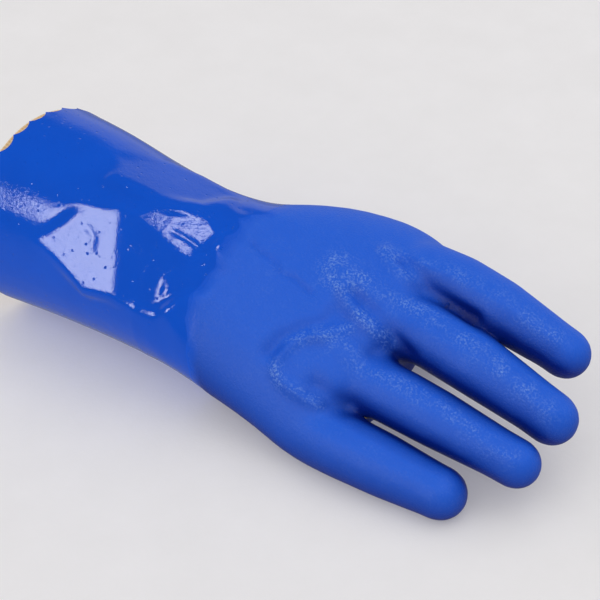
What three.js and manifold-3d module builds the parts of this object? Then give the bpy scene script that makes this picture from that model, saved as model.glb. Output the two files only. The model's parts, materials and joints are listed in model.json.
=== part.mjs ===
// A right-hand work glove of cotton knit dipped in blue PVC, lying palm down.
// X runs from the cuff to the fingertips, Y to the thumb side, Z up, in millimetres.
// The hand has a sandy second coat, the cuff a smooth one with a pinked edge, and the
// yellow knit lining shows as a narrow strip all round the mouth.

import * as THREE from 'three';
import { mergeVertices } from 'three/addons/utils/BufferGeometryUtils.js';
import Module from 'manifold-3d';

const wasm = await Module();
wasm.setup();

// Lengths along the glove
const cuffLength = 85;
const palmLength = 101;
const indexLength = 69;
const middleLength = 80;
const ringLength = 79.3;
const littleLength = 62.3;

// Widths and heights of the hollow form
const mouthWidth = 90;
const mouthHeight = 95;
const wristWidth = 84;
const wristHeight = 79;
const palmWidth = 115;
const palmThickness = 43;
const indexThickness = 25.4;
const middleThickness = 26.9;
const ringThickness = 24.8;
const littleThickness = 27.1;
const thumbThickness = 28;

// How the glove lies
const handRoll = 27;
const mouthSkew = 5;
const webSlant = 11;
const settle = 1.2;

// Walls, edges and clearances
const coatWall = 1.5;
const handProud = 0.4;
const liningWall = 1.1;
const clearance = 0.3;
const dipPastWrist = 21;
const dipWave = 3;
const scallopPitch = 9.6;
const scallopDepth = 2.2;
const scallopReach = 12;
const liningShow = 1.8;
const liningReach = 26;

// Colours and roughness of the dipped coats and of the knit
const matteBlue = 0x2d5fcd;
const glossBlue = 0x1148cc;
const knitYellow = 0xfacd8c;
const matteRoughness = 0.6;
const glossRoughness = 0.2;
const knitRoughness = 0.9;

// Fineness of the faceted skins: sides of a section, the step between rings, the smallest
// step between two, the turns of a tip's rings in degrees, and the steps of the edge's run
const sidesRound = 36;
const sidesFinger = 14;
const sidesScallop = 20;
const ringStep = 9;
const ringStepLeast = 0.5;
const tipTurns = [8, 34, 58, 80];
const edgeSteps = 720;
const mergeWithin = 1e-4;

// The dip line's highest side in degrees, its ripple as a share of its wave, and how many
// times it ripples round the wrist
const dipSide = 205;
const dipRipple = 0.3;
const dipRipples = 3;

// Shares of the palm's length: the rings that round off the web line, from the pads on,
// and the section whose plane holds the fingers
const webRings = [0.89, 0.93, 0.965, 0.985, 1];
const fingerPlane = 0.93;

// Where a finger's root starts inside the palm, as shares of the finger's length, of its
// place across and of the palm's thickness
const rootBack = 0.5;
const rootAcross = 0.9;
const rootDrop = 0.16;

// Sections of the hollow form. along is a share of the length of its zone, wide and high
// are shares of the sizes of its form, side a share of the palm's width, turn a share of
// the hand's roll, skew a share of the mouth's skew, slant a share of the web line's slant.
const sections = [
  { name: 'mouth', form: 'mouth', along: 0.0, side: 0.03, wide: 1.0, high: 1.0,
    turn: 0.0, skew: 1.0, slant: 0 },
  { name: 'cuff', form: 'mouth', along: 0.33, side: 0.044, wide: 0.945, high: 0.97,
    turn: 0.0, skew: 0.8, slant: 0 },
  { name: 'forearm', form: 'wrist', along: 0.67, side: 0.056, wide: 0.975, high: 1.09,
    turn: 0.08, skew: 0.4, slant: 0 },
  { name: 'wrist', form: 'wrist', along: 1.0, side: 0.075, wide: 1.0, high: 1.0,
    turn: 0.3, skew: 0.0, slant: 0 },
  { name: 'heel', form: 'palm', along: 0.2, side: 0.142, wide: 0.85, high: 1.58,
    turn: 0.54, skew: 0, slant: 0 },
  { name: 'thumb_base', form: 'palm', along: 0.4, side: 0.174, wide: 0.94, high: 1.38,
    turn: 0.76, skew: 0, slant: 0 },
  { name: 'mid_palm', form: 'palm', along: 0.6, side: 0.176, wide: 0.99, high: 1.2,
    turn: 0.9, skew: 0, slant: 0.2 },
  { name: 'knuckles', form: 'palm', along: 0.78, side: 0.163, wide: 1.01, high: 1.06,
    turn: 0.97, skew: 0, slant: 0.6 },
  { name: 'pads', form: 'palm', along: 0.89, side: 0.152, wide: 0.99, high: 0.97,
    turn: 1.0, skew: 0, slant: 0.85 },
  { name: 'webs', form: 'palm', along: 0.96, side: 0.144, wide: 0.96, high: 0.84,
    turn: 1.0, skew: 0, slant: 1 },
  { name: 'web_end', form: 'palm', along: 1.0, side: 0.14, wide: 0.9, high: 0.56,
    turn: 1.0, skew: 0, slant: 1 },
];

// Large dents and folds. along and wide are shares of the length of their zone, lean is one
// too for each radian, angle and round are degrees about the section, and depth is a share
// of the palm's thickness.
const dents = [
  { name: 'cuff_fold', form: 'wrist', along: 0.92, angle: 143, lean: 0.3,
    depth: 0.07, wide: 0.09, round: 36 },
  { name: 'far_facet', form: 'wrist', along: 0.62, angle: 72, lean: 0,
    depth: 0.05, wide: 0.26, round: 24 },
  { name: 'wrist_kink', form: 'palm', along: 0.14, angle: 52, lean: -0.08,
    depth: 0.05, wide: 0.09, round: 18 },
  { name: 'palm_hollow', form: 'palm', along: 0.56, angle: 268, lean: 0,
    depth: 0.17, wide: 0.25, round: 46 },
];

// Fingers in the hand's own plane. across and tipAcross are shares of the palm's width,
// lift, tipLift and arch are shares of the palm's thickness.
const fingers = [
  { name: 'index', length: indexLength, thick: indexThickness, across: 0.368, lift: 0.13,
    tipAcross: 0.305, tipLift: -0.185, arch: 0.125 },
  { name: 'middle', length: middleLength, thick: middleThickness, across: 0.146, lift: 0.126,
    tipAcross: 0.049, tipLift: -0.143, arch: 0.125 },
  { name: 'ring', length: ringLength, thick: ringThickness, across: -0.122, lift: 0.127,
    tipAcross: -0.152, tipLift: -0.075, arch: 0.031 },
  { name: 'little', length: littleLength, thick: littleThickness, across: -0.366, lift: 0.025,
    tipAcross: -0.364, tipLift: -0.052, arch: -0.02 },
];

// Thickness along a finger, from its root inside the palm to where its tip rounds off.
const fingerProfile = [
  { along: 0.0, thick: 0.5 },
  { along: 0.12, thick: 1.0 },
  { along: 0.24, thick: 1.12 },
  { along: 0.4, thick: 1.03 },
  { along: 0.6, thick: 0.98 },
  { along: 0.84, thick: 0.83 },
];
const thumbProfile = [
  { along: 0.0, thick: 1.0 },
  { along: 0.2, thick: 1.3 },
  { along: 0.4, thick: 1.16 },
  { along: 0.6, thick: 1.0 },
  { along: 0.8, thick: 0.96 },
];

// Stops of the thumb, tucked in under the palm. along is a share of the palm's length, side
// and height are shares of the palm's width.
const thumbStops = [
  { name: 'mound', along: 0.16, side: 0.33, height: 0.34 },
  { name: 'base', along: 0.4, side: 0.47, height: 0.27 },
  { name: 'joint', along: 0.72, side: 0.54, height: 0.165 },
  { name: 'tip', along: 1.06, side: 0.5, height: 0.118 },
];

const toRadians = THREE.MathUtils.degToRad;
const dipPlace = cuffLength + dipPastWrist;
const webPlace = cuffLength + palmLength;

function formSizes(form) {
  if (form === 'mouth') return { start: 0, length: cuffLength, wide: mouthWidth, high: mouthHeight };
  if (form === 'wrist') return { start: 0, length: cuffLength, wide: wristWidth, high: wristHeight };
  return { start: cuffLength, length: palmLength, wide: palmWidth, high: palmThickness };
}

const stationPlaces = [];
const stationValues = [];
for (const row of sections) {
  const form = formSizes(row.form);
  stationPlaces.push(form.start + row.along * form.length);
  stationValues.push(
    row.side * palmWidth,
    (row.wide * form.wide) / 2,
    (row.high * form.high) / 2,
    row.turn * toRadians(handRoll),
    row.skew * Math.tan(toRadians(mouthSkew)),
    row.slant * webSlant,
  );
}
const stationCurve = new THREE.CubicInterpolant(stationPlaces, stationValues, 6);

function stationAt(place) {
  const [side, halfWide, halfHigh, turn, skew, slant] = stationCurve.evaluate(place);
  const reach = Math.hypot(halfWide * Math.sin(turn), halfHigh * Math.cos(turn));
  return { place, side, halfWide, halfHigh, turn, skew, slant, height: reach - settle };
}

function rest(point, inset) {
  point.z = Math.max(point.z, inset, 0);
  return point;
}

function dentAt(place, angle) {
  let depth = 0;
  for (const dent of dents) {
    const zone = formSizes(dent.form);
    const past = angle - toRadians(dent.angle);
    const turn = Math.atan2(Math.sin(past), Math.cos(past));
    const along = (place - zone.start) / zone.length - dent.along - dent.lean * turn;
    const fade = Math.exp(-((along / dent.wide) ** 2) - (turn / toRadians(dent.round)) ** 2);
    depth += dent.depth * palmThickness * fade;
  }
  return depth;
}

// One ring of the hollow form, drawn in by inset from the outer skin.
function formRing(place, inset) {
  const s = stationAt(place);
  const ring = [];
  for (let i = 0; i < sidesRound; i += 1) {
    const angle = (i / sidesRound) * Math.PI * 2;
    const across = (s.halfWide - inset) * Math.cos(angle);
    const up = (s.halfHigh - inset) * Math.sin(angle);
    const dented = 1 - dentAt(place, angle + s.turn) / Math.hypot(across, up);
    const y = (across * Math.cos(s.turn) - up * Math.sin(s.turn)) * dented;
    const z = (across * Math.sin(s.turn) + up * Math.cos(s.turn)) * dented;
    const low = 0.5 - across / (2 * s.halfWide);
    const x = place + y * s.skew - s.slant * low * low;
    ring.push(rest(new THREE.Vector3(x, s.side + y, s.height + z), inset));
  }
  return ring;
}

function centreOf(ring) {
  const centre = new THREE.Vector3();
  for (const point of ring) centre.add(point);
  return centre.divideScalar(ring.length);
}

// Closes a row of rings into one solid, with a fan of triangles at each end.
function loft(rings) {
  const count = rings[0].length;
  const points = rings.flat();
  const startCentre = points.length;
  points.push(centreOf(rings[0]), centreOf(rings[rings.length - 1]));
  const faces = [];
  for (let r = 0; r + 1 < rings.length; r += 1) {
    for (let i = 0; i < count; i += 1) {
      const a = r * count + i;
      const b = r * count + ((i + 1) % count);
      faces.push(a, b, b + count, a, b + count, a + count);
    }
  }
  const last = (rings.length - 1) * count;
  for (let i = 0; i < count; i += 1) {
    const next = (i + 1) % count;
    faces.push(startCentre, next, i);
    faces.push(startCentre + 1, last + i, last + next);
  }
  const geometry = new THREE.BufferGeometry();
  geometry.setAttribute('position', new THREE.Float32BufferAttribute(points.flatMap((p) => p.toArray()), 3));
  geometry.setIndex(faces);
  return geometry;
}

function solidOf(geometry) {
  const bare = geometry.clone();
  bare.deleteAttribute('normal');
  bare.deleteAttribute('uv');
  const merged = mergeVertices(bare, mergeWithin);
  return new wasm.Manifold(
    new wasm.Mesh({
      numProp: 3,
      vertProperties: Float32Array.from(merged.attributes.position.array),
      triVerts: Uint32Array.from(merged.index.array),
    }),
  );
}

function geometryOf(solid) {
  const mesh = solid.getMesh();
  const geometry = new THREE.BufferGeometry();
  geometry.setAttribute('position', new THREE.BufferAttribute(mesh.vertProperties, 3));
  geometry.setIndex(new THREE.BufferAttribute(mesh.triVerts, 1));
  return geometry;
}

// Places of the rings between two ends, the same ones for every skin.
function ringPlaces(from, to) {
  const places = [from];
  for (let k = Math.floor(from / ringStep) + 1; k * ringStep < to; k += 1) {
    if (k * ringStep - places[places.length - 1] > ringStepLeast) places.push(k * ringStep);
  }
  if (to - places[places.length - 1] < ringStepLeast) places.pop();
  places.push(to);
  return places;
}

function formSolid(from, to, inset) {
  return solidOf(loft(ringPlaces(from, to).map((place) => formRing(place, inset))));
}

function palmSolid(from, inset) {
  const [pads, ...rounds] = webRings;
  const places = ringPlaces(from, cuffLength + pads * palmLength);
  for (const share of rounds) places.push(cuffLength + share * (palmLength - inset));
  return solidOf(loft(places.map((place) => formRing(place, inset))));
}

function tubeRing(centre, along, radius, inset) {
  const turn = toRadians(handRoll);
  const up = new THREE.Vector3(0, -Math.sin(turn), Math.cos(turn));
  const across = new THREE.Vector3().crossVectors(up, along).normalize();
  const lift = new THREE.Vector3().crossVectors(along, across).normalize();
  const ring = [];
  for (let i = 0; i < sidesFinger; i += 1) {
    const angle = (i / sidesFinger) * Math.PI * 2;
    const point = centre.clone();
    point.addScaledVector(across, radius * Math.cos(angle));
    point.addScaledVector(lift, radius * Math.sin(angle));
    ring.push(rest(point, inset));
  }
  return ring;
}

// A tube along a path with a round tip.
function fingerTube(path, thick, profile, inset) {
  const length = path.getLength();
  const start = Math.max(inset, 0) / length;
  const rings = profile.map((stop) => tubeRing(
    path.getPointAt(Math.max(stop.along, start)),
    path.getTangentAt(Math.max(stop.along, start)),
    (stop.thick * thick) / 2 - inset,
    inset,
  ));
  const tipRadius = (profile[profile.length - 1].thick * thick) / 2;
  const tipCentre = path.getPointAt(1 - tipRadius / length);
  const tipAlong = path.getTangentAt(1 - tipRadius / length);
  for (const degrees of tipTurns) {
    const turn = toRadians(degrees);
    const centre = tipCentre.clone().addScaledVector(tipAlong, (tipRadius - inset) * Math.sin(turn));
    rings.push(tubeRing(centre, tipAlong, (tipRadius - inset) * Math.cos(turn), inset));
  }
  return solidOf(loft(rings));
}

// A place in the hand's own plane, measured from the middle of the web line.
const hand = stationAt(cuffLength + fingerPlane * palmLength);
function inHand(along, across, lift) {
  const turn = toRadians(handRoll);
  return new THREE.Vector3(
    along,
    hand.side + across * Math.cos(turn) - lift * Math.sin(turn),
    hand.height + across * Math.sin(turn) + lift * Math.cos(turn),
  );
}

function fingerPath(row) {
  const low = 0.5 - row.across;
  const web = webPlace - webSlant * low * low;
  const across = row.across * palmWidth;
  const tipAcross = row.tipAcross * palmWidth;
  const lift = row.lift * palmThickness;
  const tipLift = row.tipLift * palmThickness;
  const arch = row.arch * palmThickness;
  const root = inHand(web - rootBack * row.length, across * rootAcross, lift - rootDrop * palmThickness);
  const knuckle = inHand(web, across, lift);
  const middle = inHand(web + row.length / 2, (across + tipAcross) / 2, (lift + tipLift) / 2 + arch);
  const tip = inHand(web + row.length, tipAcross, tipLift);
  return new THREE.CatmullRomCurve3([root, knuckle, middle, tip]);
}

function thumbPath() {
  return new THREE.CatmullRomCurve3(thumbStops.map((stop) => new THREE.Vector3(
    cuffLength + stop.along * palmLength,
    stop.side * palmWidth,
    stop.height * palmWidth,
  )));
}

function handForm(from, inset) {
  let solid = palmSolid(from, inset);
  for (const row of fingers) solid = solid.add(fingerTube(fingerPath(row), row.thick, fingerProfile, inset));
  return solid.add(fingerTube(thumbPath(), thumbThickness, thumbProfile, inset));
}

// The wavy line round the wrist where the second dip ends, as a place along the glove.
function dipLine(angle) {
  return dipPlace + dipWave * (Math.cos(angle - toRadians(dipSide)) + dipRipple * Math.sin(dipRipples * angle));
}

// Everything on the cuff's side of the dip line, moved along by shift.
function cuffSide(shift) {
  const centre = stationAt(dipPlace);
  const reach = palmWidth;
  const back = [];
  const front = [];
  for (let i = 0; i < sidesRound; i += 1) {
    const angle = (i / sidesRound) * Math.PI * 2;
    const y = centre.side + reach * Math.cos(angle);
    const z = centre.height + reach * Math.sin(angle);
    back.push(new THREE.Vector3(-cuffLength, y, z));
    front.push(new THREE.Vector3(dipLine(angle) + shift, y, z));
  }
  return solidOf(loft([back, front]));
}

// Tools that bite the scallops out of the coat's edge, one each pitch round the mouth.
function scallopTools() {
  const ring = [];
  const s = stationAt(0);
  for (let i = 0; i <= edgeSteps; i += 1) {
    const angle = (i / edgeSteps) * Math.PI * 2;
    ring.push({ y: s.halfWide * Math.cos(angle), z: s.halfHigh * Math.sin(angle), run: 0 });
  }
  let around = 0;
  for (let i = 1; i <= edgeSteps; i += 1) {
    around += Math.hypot(ring[i].y - ring[i - 1].y, ring[i].z - ring[i - 1].z);
    ring[i].run = around;
  }
  const count = Math.round(around / scallopPitch);
  const half = around / count / 2;
  const radius = (half * half + scallopDepth * scallopDepth) / (2 * scallopDepth);
  let tools = null;
  for (let k = 0; k < count; k += 1) {
    const mark = ring.find((p) => p.run >= ((k + 0.5) / count) * around);
    const out = new THREE.Vector3(0, mark.y / s.halfWide ** 2, mark.z / s.halfHigh ** 2).normalize();
    const tool = new THREE.CylinderGeometry(radius, radius, scallopReach, sidesScallop);
    tool.applyQuaternion(new THREE.Quaternion().setFromUnitVectors(new THREE.Vector3(0, 1, 0), out));
    tool.translate(mark.y * s.skew + scallopDepth - radius, s.side + mark.y, s.height + mark.z);
    const solid = solidOf(tool);
    tools = tools ? tools.add(solid) : solid;
  }
  return tools;
}

function meshOf(name, solid, colour, roughness) {
  const material = new THREE.MeshStandardMaterial({ color: colour, roughness, metalness: 0 });
  const mesh = new THREE.Mesh(geometryOf(solid), material);
  mesh.name = name;
  return mesh;
}

function cuffCoat() {
  const outer = formSolid(0, dipPlace + dipWave * 2, 0);
  const inner = formSolid(-ringStep, dipPlace + dipWave * 3, coatWall);
  return outer.subtract(inner).intersect(cuffSide(-clearance)).subtract(scallopTools());
}

function handCoat() {
  const outer = handForm(dipPlace - dipWave * 2, -handProud);
  const inner = handForm(dipPlace - dipWave * 3, coatWall);
  return outer.subtract(inner).subtract(cuffSide(0));
}

function knitLining() {
  const skin = coatWall + clearance;
  const end = dipPlace + liningReach;
  const outer = formSolid(-liningShow, end, skin);
  const inner = formSolid(-liningShow - ringStep, end + ringStep, skin + liningWall);
  return outer.subtract(inner);
}

const glove = new THREE.Group();
glove.add(meshOf('hand_coat', handCoat(), matteBlue, matteRoughness));
glove.add(meshOf('cuff_coat', cuffCoat(), glossBlue, glossRoughness));
glove.add(meshOf('knit_lining', knitLining(), knitYellow, knitRoughness));

// The origin is on the floor, under the middle of the glove's box.
const box = new THREE.Box3().setFromObject(glove);
const middle = box.getCenter(new THREE.Vector3());
glove.position.set(-middle.x, -middle.y, -box.min.z);

export default glove;
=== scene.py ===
# %% [markdown]
# # A PVC dipped work glove
# The real thing is a cotton knit glove on a hand-shaped former, dipped twice in blue PVC. The
# first dip is smooth and glossy and reaches the cuff. The second one is sandy and matte and
# covers the hand only. The frame holds these layers as plain solids at their real size. This
# lesson gives each layer its real surface, and keeps every size where the frame has it.

# %% Load the frame
import json
import math

import bmesh
import bpy
import numpy as np
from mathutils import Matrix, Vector
from mathutils.bvhtree import BVHTree

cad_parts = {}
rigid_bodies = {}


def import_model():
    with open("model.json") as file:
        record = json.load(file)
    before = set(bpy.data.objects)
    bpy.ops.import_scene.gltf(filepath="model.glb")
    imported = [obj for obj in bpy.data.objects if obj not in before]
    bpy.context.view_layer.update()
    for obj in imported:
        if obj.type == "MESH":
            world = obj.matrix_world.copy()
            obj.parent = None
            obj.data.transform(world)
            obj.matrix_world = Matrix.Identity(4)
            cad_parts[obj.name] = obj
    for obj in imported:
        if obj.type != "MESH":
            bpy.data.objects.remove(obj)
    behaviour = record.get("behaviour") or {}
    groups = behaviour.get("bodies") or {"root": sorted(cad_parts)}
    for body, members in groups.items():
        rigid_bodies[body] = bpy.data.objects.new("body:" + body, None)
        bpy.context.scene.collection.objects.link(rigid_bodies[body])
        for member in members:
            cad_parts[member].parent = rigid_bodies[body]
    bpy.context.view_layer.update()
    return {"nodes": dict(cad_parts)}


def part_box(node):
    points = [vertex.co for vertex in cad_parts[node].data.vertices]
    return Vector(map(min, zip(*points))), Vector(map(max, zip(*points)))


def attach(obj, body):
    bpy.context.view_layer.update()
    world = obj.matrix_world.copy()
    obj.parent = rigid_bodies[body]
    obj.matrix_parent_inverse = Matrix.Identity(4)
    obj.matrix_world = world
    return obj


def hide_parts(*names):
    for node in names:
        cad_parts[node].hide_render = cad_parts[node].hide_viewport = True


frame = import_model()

MM = 0.001
print("frame nodes:", ", ".join(sorted(frame["nodes"])))

# %% [markdown]
# ## Small helpers
# Lengths are written in millimetres, as a glove maker would, and turned to metres where a mesh
# is written. Operators act on what is selected, so each step first selects only its own piece.

# %% Select, read and write a piece
MERGE_GAP = 0.001 * MM


def only(thing):
    """Selects this piece and nothing else."""
    bpy.ops.object.select_all(action="DESELECT")
    thing.select_set(True)
    bpy.context.view_layer.objects.active = thing


def read_spots(thing):
    """The piece's vertices in millimetres, one row each."""
    flat = np.empty(len(thing.data.vertices) * 3)
    thing.data.vertices.foreach_get("co", flat)
    return flat.reshape(-1, 3) / MM


def write_spots(thing, spots):
    """Moves the piece's vertices to these places in millimetres."""
    thing.data.vertices.foreach_set("co", (spots * MM).ravel())
    thing.data.update()


def read_normals(thing):
    """The piece's vertex normals, one row each."""
    flat = np.empty(len(thing.data.vertices) * 3)
    thing.data.vertex_normals.foreach_get("vector", flat)
    return flat.reshape(-1, 3)


def copy_of_node(node, name):
    """A separate piece with the frame node's surface, its loose triangles merged."""
    piece = bpy.data.objects.new(name, frame["nodes"][node].data.copy())
    bpy.context.scene.collection.objects.link(piece)
    only(piece)
    bpy.ops.object.mode_set(mode="EDIT")
    bpy.ops.mesh.select_all(action="SELECT")
    bpy.ops.mesh.remove_doubles(threshold=MERGE_GAP)
    bpy.ops.object.mode_set(mode="OBJECT")
    return piece


def two_sides(piece):
    """Two empty material slots, so that a wall's inside can take the second one."""
    piece.data.materials.clear()
    piece.data.materials.append(None)
    piece.data.materials.append(None)


def finish_modifier(piece, kind, **settings):
    """Adds one modifier with its settings and applies it."""
    only(piece)
    modifier = piece.modifiers.new(kind.title(), kind)
    for key, value in settings.items():
        setattr(modifier, key, value)
    bpy.ops.object.modifier_apply(modifier=modifier.name)


def tree_of(*pieces):
    """A search tree of the pieces' faces, in millimetres, and how many faces each piece has."""
    spots = []
    faces = []
    counts = []
    for piece in pieces:
        start = len(spots)
        spots.extend(map(tuple, read_spots(piece)))
        faces.extend([start + i for i in face.vertices] for face in piece.data.polygons)
        counts.append(len(piece.data.polygons))
    return BVHTree.FromPolygons(spots, faces), counts


def soft_step(value, start, end):
    """0 before start, 1 after end, and a smooth rise between them."""
    t = np.clip((value - start) / (end - start), 0, 1)
    return t * t * (3 - 2 * t)


print("a soft step at a quarter of the way is", float(soft_step(0.25, 0, 1)))

# %% [markdown]
# ## The camera
# The glove was photographed from its little-finger side, from above, with a long lens. The camera
# comes before the surfaces, because it needs nothing but the frame.

# %% Place the camera
CAMERA_TURN = 35
CAMERA_RISE = 39
CAMERA_ANGLE = 18
CAMERA_PLACE = Vector((368.4, -521.5, 557.4)) * MM

lens = bpy.data.cameras.new("camera")
lens.angle = math.radians(CAMERA_ANGLE)
camera = bpy.data.objects.new("camera", lens)
camera.location = CAMERA_PLACE
camera.rotation_euler = (math.radians(90 - CAMERA_RISE), 0, math.radians(CAMERA_TURN))
bpy.context.scene.collection.objects.link(camera)
bpy.context.scene.camera = camera
print("camera at", [round(v, 3) for v in camera.location])

# %% [markdown]
# ## The hand's outer form
# The second dip follows the former: four fingers, a thumb and the palm, with no edge anywhere
# except where the dip ends at the wrist. Modelling that from nothing would drift away from the
# frame, so the frame's own skin is the start. Its outer skin is taken alone, closed at the wrist,
# remeshed to small even faces and smoothed, which melts the facets and fillets the webs between
# the fingers, as thick PVC does when it runs together there.

# %% Take the outer skin of the hand
STUB = 9 * MM
RIM_DEPTH = 10 * MM
RIM_FACING = -0.9

hand = copy_of_node("hand_coat", "hand_shell")
two_sides(hand)
hand_low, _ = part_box("hand_coat")
only(hand)
bpy.ops.object.mode_set(mode="EDIT")
bpy.ops.mesh.select_mode(type="FACE")
bpy.ops.mesh.select_all(action="DESELECT")
edit = bmesh.from_edit_mesh(hand.data)
for face in edit.faces:
    at_rim = face.calc_center_median().x < hand_low.x + RIM_DEPTH
    face.select = face.normal.x < RIM_FACING and at_rim
bmesh.update_edit_mesh(hand.data)
bpy.ops.mesh.delete(type="FACE")
bpy.ops.mesh.select_mode(type="VERT")
edit = bmesh.from_edit_mesh(hand.data)
edit.verts.ensure_lookup_table()
tip = max(edit.verts, key=lambda vert: vert.co.x)
tip.select = True
edit.select_flush_mode()
bpy.ops.mesh.select_linked()
bpy.ops.mesh.select_all(action="INVERT")
bpy.ops.mesh.delete(type="VERT")
bpy.ops.mesh.select_all(action="DESELECT")
bpy.ops.mesh.select_non_manifold()
bpy.ops.mesh.extrude_region_move(TRANSFORM_OT_translate={"value": (-STUB, 0, 0)})
bpy.ops.mesh.edge_face_add()
bpy.ops.object.mode_set(mode="OBJECT")
print("hand skin has", len(hand.data.polygons), "faces")

# %% [markdown]
# The voxel remesh joins what is less than two voxels apart, and the fingers are. So the skin is
# first drawn in by most of a millimetre, and let out again once it is remeshed and smooth.

# %% Remesh the hand
VOXEL = 1.3 * MM
DRAW_IN = 0.9

write_spots(hand, read_spots(hand) - read_normals(hand) * DRAW_IN)
hand.data.remesh_voxel_size = VOXEL
bpy.ops.object.voxel_remesh()
print("hand remeshed to", len(hand.data.polygons), "faces")

# %% [markdown]
# The remeshed skin still shows the frame's flat facets and has sharp creases where the finger
# tubes meet. A light smoothing all over takes the facets out. A stronger one, weighted by a
# vertex group round each web, rounds the creases to the 5 mm fillets that the dipped PVC has.

# %% Smooth the skin and fillet the webs
SMOOTH_SHARE = 0.5
SMOOTH_ALL = 14
SMOOTH_WEBS = 50
WEB_FULL = 0.5
WEB_END = 1.5
LEAST_WEIGHT = 0.01
webs = [
    {"name": "index_middle", "spot": (50, 23, 46), "reach": 13},
    {"name": "middle_ring", "spot": (52, -4, 36), "reach": 13},
    {"name": "ring_little", "spot": (48, -30, 22), "reach": 13},
    {"name": "thumb", "spot": (-2, 45, 30), "reach": 16},
    {"name": "index_knuckle", "spot": (46, 38, 60), "reach": 24},
    {"name": "little_knuckle", "spot": (36, -50, 18), "reach": 22},
    {"name": "middle_knuckle", "spot": (44, 8, 56), "reach": 14},
    {"name": "ring_knuckle", "spot": (42, -19, 42), "reach": 14},
]
spots = read_spots(hand)
near_web = np.zeros(len(spots))
for web in webs:
    gap = np.linalg.norm(spots - np.array(web["spot"]), axis=1)
    near = 1 - soft_step(gap, web["reach"] * WEB_FULL, web["reach"] * WEB_END)
    near_web = np.maximum(near_web, near)
group = hand.vertex_groups.new(name="webs")
for index in np.nonzero(near_web > LEAST_WEIGHT)[0]:
    group.add([int(index)], float(near_web[index]), "REPLACE")
finish_modifier(hand, "SMOOTH", factor=SMOOTH_SHARE, iterations=SMOOTH_ALL)
finish_modifier(hand, "SMOOTH", factor=SMOOTH_SHARE, iterations=SMOOTH_WEBS, vertex_group="webs")
write_spots(hand, read_spots(hand) + read_normals(hand) * DRAW_IN)
print("webs and knuckles smoothed over", int((near_web > LEAST_WEIGHT).sum()), "vertices")

# %% [markdown]
# ## The skin round the wrist and cuff
# The cuff and the wrist are one tube of rubber that folds. Such a tube is easiest to shape as a
# table of radii: one ring for each step along the glove, one radius for each angle. The rings
# lean with the mouth, which was cut a little askew, and stand straight by the wrist.

# %% Place the rings
AROUND = 300
RING_STEP = 1.25
MOUTH_PLACE = -129.0
MAP_END = 16.0
MOUTH_LEAN = math.tan(math.radians(5))
LEAN_FULL = -125.0
LEAN_END = -50.0

middle_table = {
    "place": (-129.0, -60.0, -49.0, -32.0, -18.0, 16.0),
    "side": (-13.0, -10.2, -9.4, -3.4, 0.0, 3.5),
    "height": (46.0, 40.5, 39.5, 36.0, 34.0, 33.5),
}
ring_places = np.arange(MOUTH_PLACE, MAP_END, RING_STEP)
ring_angles = np.linspace(0, 2 * math.pi, AROUND, endpoint=False)
# just short of the last ring, so that there is always a next one
LAST_ROW = len(ring_places) - 1.001


def middle_at(place):
    """The side and height of the tube's middle line at a place along the glove."""
    side = np.interp(place, middle_table["place"], middle_table["side"])
    height = np.interp(place, middle_table["place"], middle_table["height"])
    return side, height


def lean_at(place):
    """How far a ring leans with the mouth: fully at the mouth, not at all by the wrist."""
    return MOUTH_LEAN * (1 - soft_step(place, LEAN_FULL, LEAN_END))


def place_rings(table):
    """The points of the rings that have these radii, in millimetres."""
    side, height = middle_at(ring_places)
    y = side[:, None] + table * np.cos(ring_angles)
    z = height[:, None] + table * np.sin(ring_angles)
    x = ring_places[:, None] + lean_at(ring_places)[:, None] * table * np.cos(ring_angles)
    return np.stack([x, y, z], axis=-1)


def between_rings(place):
    """The ring before each place along the glove, and the share of the way to the next ring."""
    row = np.clip((place - MOUTH_PLACE) / RING_STEP, 0, LAST_ROW)
    before = row.astype(int)
    return before, row - before


print(len(ring_places), "rings of", AROUND, "radii")

# %% [markdown]
# Rays from outside read the radii off the frame's solids. Where a ray meets the hand, which lies
# on the cuff, the radius is a little less, so that the cuff's skin stays under the hand's.

# %% Read the radii with rays
HAND_PROUD = 0.4
RAY_REACH = 110.0
LEAST_RADIUS = 15.0

solids = copy_of_node("cuff_coat", "cuff_probe"), copy_of_node("hand_coat", "hand_probe")
skin_tree, face_counts = tree_of(*solids)
radii = np.full((len(ring_places), AROUND), np.nan)
for i, place in enumerate(ring_places):
    side, height = middle_at(place)
    for j, angle in enumerate(ring_angles):
        out = Vector((lean_at(place) * math.cos(angle), math.cos(angle), math.sin(angle)))
        start = Vector((place, side, height)) + out * RAY_REACH
        spot, normal, face, gap = skin_tree.ray_cast(start, -out.normalized())
        if spot is not None and gap < RAY_REACH - LEAST_RADIUS:
            proud = HAND_PROUD if face >= face_counts[0] else 0
            radii[i, j] = RAY_REACH - gap / out.length - proud
for probe in solids:
    bpy.data.objects.remove(probe)
print("rays that missed:", int(np.isnan(radii).sum()), "of", radii.size)

# %% [markdown]
# Rays that pass the ragged mouth miss. Those radii are carried on from the rings behind them. A
# few rounds of averaging with the neighbours then take out the frame's facets.

# %% Fill and soften the radii
SOFTEN_ROUNDS = 10


def softened(table, rounds):
    """The table after some rounds of averaging each radius with its neighbours."""
    for _ in range(rounds):
        table = (np.roll(table, 1, 1) + 2 * table + np.roll(table, -1, 1)) / 4
        padded = np.vstack([2 * table[:1] - table[1:2], table, table[-1:]])
        table = (padded[:-2] + 2 * padded[1:-1] + padded[2:]) / 4
    return table


for i in range(len(ring_places) - 2, -1, -1):
    missed = np.isnan(radii[i])
    radii[i, missed] = radii[i + 1, missed]
radii = softened(radii, SOFTEN_ROUNDS)
print("radii from", round(radii.min(), 1), "to", round(radii.max(), 1), "mm")

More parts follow.
